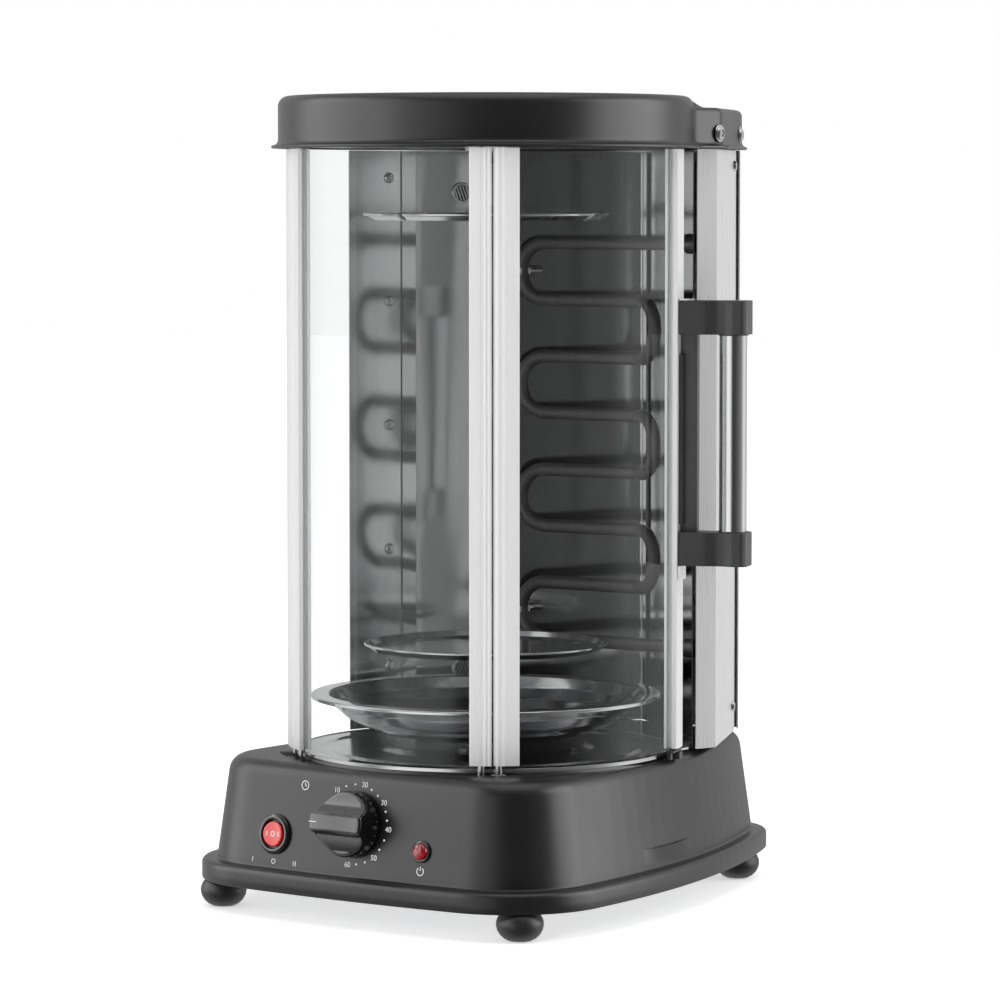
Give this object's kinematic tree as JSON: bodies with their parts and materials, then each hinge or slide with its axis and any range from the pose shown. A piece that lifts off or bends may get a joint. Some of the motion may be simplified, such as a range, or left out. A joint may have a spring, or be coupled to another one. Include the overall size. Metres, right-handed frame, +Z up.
{
  "type": "rotisserie oven",
  "caption": "Vertical rotisserie oven: motor base with timer and switch, curved glass chamber with hinged door, mirror reflector, heating element and turning stack.",
  "frame": {"origin": "on the ground under the middle of the outline", "axes": "+Z up, controls face -Y, handle on the +X side"},
  "size_m": [0.2838, 0.345, 0.47],
  "materials": {
    "black_paint": "satin heat-resistant paint with a fine texture",
    "galvanised": "plain galvanised sheet",
    "rubber_black": "matt black rubber",
    "screw_steel": "bright plated steel",
    "white_plastic": "unfilled heat-resistant plastic",
    "polished_steel": "polished stainless steel",
    "mirror_steel": "mirror-finished stainless sheet",
    "aluminium_pale": "pale satin anodised aluminium",
    "aluminium_bright": "bright aluminium",
    "element_sheath": "dark oxidised sheath",
    "black_ceramic": "dark ceramic",
    "glass": "clear tempered glass",
    "black_plastic": "black heat-resistant plastic",
    "black_plastic_gloss": "black semi-gloss plastic",
    "brushed_bar": "drawn stainless tube",
    "red_plastic": "red rocker",
    "red_lens": "dark red faceted lens"
  },
  "bodies": {
    "root": {"base_shell": "black_paint", "base_plate": "galvanised", "feet": "rubber_black", "base_screws": "screw_steel", "gear_motor": "galvanised", "motor_bracket": "galvanised", "shaft_bush": "white_plastic", "floor_pan": "polished_steel", "reflector_left": "mirror_steel", "reflector_right": "mirror_steel", "seam_strip": "mirror_steel", "vent_inserts": "aluminium_bright", "left_wing": "mirror_steel", "wing_screws": "screw_steel", "side_cover_right": "aluminium_pale", "side_cover_left": "aluminium_pale", "back_cover": "aluminium_pale", "cover_screws": "screw_steel", "heating_element": "element_sheath", "element_bushings": "black_ceramic", "element_clips": "element_sheath", "post_left_inner": "aluminium_pale", "post_left_outer": "aluminium_pale", "post_right_inner": "aluminium_pale", "post_studs": "screw_steel", "front_glass": "glass", "left_glass": "glass", "hinge_bushes": "white_plastic", "door_catch": "black_plastic", "cap": "black_paint", "cap_screws": "screw_steel", "ceiling_plate": "mirror_steel", "top_bush": "white_plastic", "timer_body": "galvanised", "switch_body": "black_plastic", "lamp_bezel": "black_plastic", "lamp_lens": "red_lens", "cable_gland": "black_plastic", "terminal_block": "white_plastic"},
    "carousel": {"drive_shaft": "screw_steel", "tray_hub": "black_plastic", "drip_tray": "polished_steel", "spindle": "polished_steel", "lower_disc": "polished_steel", "upper_disc": "polished_steel", "disc_collars": "polished_steel"},
    "door": {"door_hinge_post": "aluminium_pale", "door_pins": "screw_steel", "door_glass": "glass", "door_end_post": "aluminium_pale", "handle_plate": "black_plastic", "handle_bracket_lower": "black_plastic", "handle_bracket_upper": "black_plastic", "handle_bar": "brushed_bar", "handle_screws": "screw_steel", "latch_tab": "aluminium_bright", "catch_striker": "black_plastic"},
    "timer_knob_body": {"timer_shaft": "screw_steel", "timer_knob": "black_plastic_gloss"},
    "rocker": {"switch_rocker": "red_plastic"}
  },
  "joints": [
    {"name": "carousel_spin", "type": "hinge", "parent": "root", "child": "carousel", "pos_m": [-0.00805, -0.02345, 0.1], "axis": [0, 0, 1], "continuous": true},
    {"name": "door_hinge", "type": "hinge", "parent": "root", "child": "door", "pos_m": [0.06448, -0.11127, 0.265], "axis": [0, 0, -1], "range_deg": [0, 95]},
    {"name": "timer_turn", "type": "hinge", "parent": "root", "child": "timer_knob_body", "pos_m": [-0.00655, -0.15371, 0.05828], "axis": [0.0016, -0.9903, 0.1392], "range_deg": [-275, 0]},
    {"name": "rocker_tilt", "type": "hinge", "parent": "root", "child": "rocker", "pos_m": [-0.06392, -0.14929, 0.04739], "axis": [0.0085, 0.1389, 0.9903], "range_deg": [-12, 12]}
  ]
}
